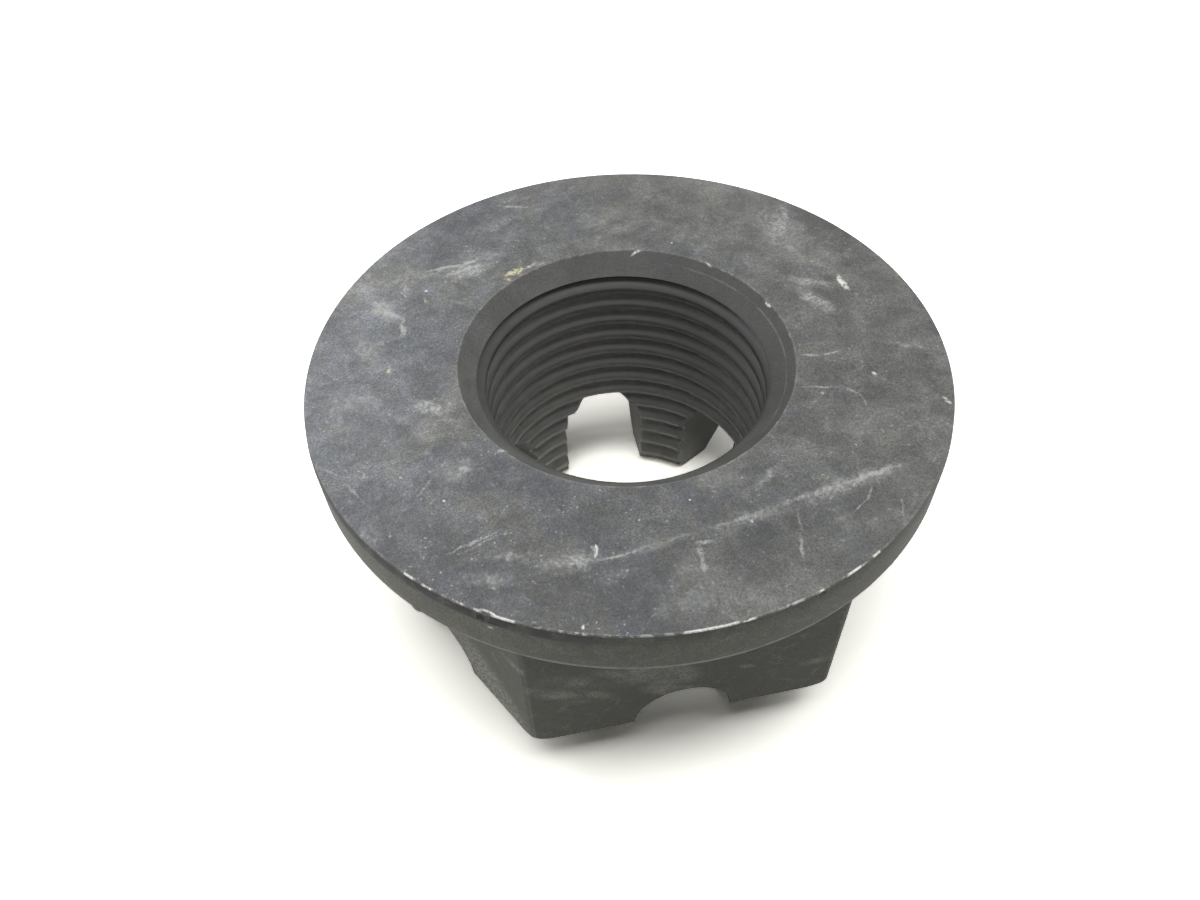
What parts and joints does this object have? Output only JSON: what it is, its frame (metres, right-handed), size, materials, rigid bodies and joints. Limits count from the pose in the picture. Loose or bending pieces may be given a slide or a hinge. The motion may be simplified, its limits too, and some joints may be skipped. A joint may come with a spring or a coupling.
{
  "type": "castellated flange nut",
  "caption": "Flange nut with a hexagon under a wide round flange, a flat bearing face, a threaded bore, and a conical crown slotted through each flat for a split pin.",
  "frame": {"origin": "on the thread's axis, in the plane of the crown's end, on which the nut stands", "axes": "+Z along the thread's axis towards the bearing face; -Y through the middle of one flat and its slot"},
  "size_m": [0.0554, 0.0554, 0.0292],
  "materials": {
    "black_steel": "black phosphate, satin, rubbed and smeared by use"
  },
  "bodies": {
    "root": {"flange_nut": "black_steel"}
  },
  "joints": []
}
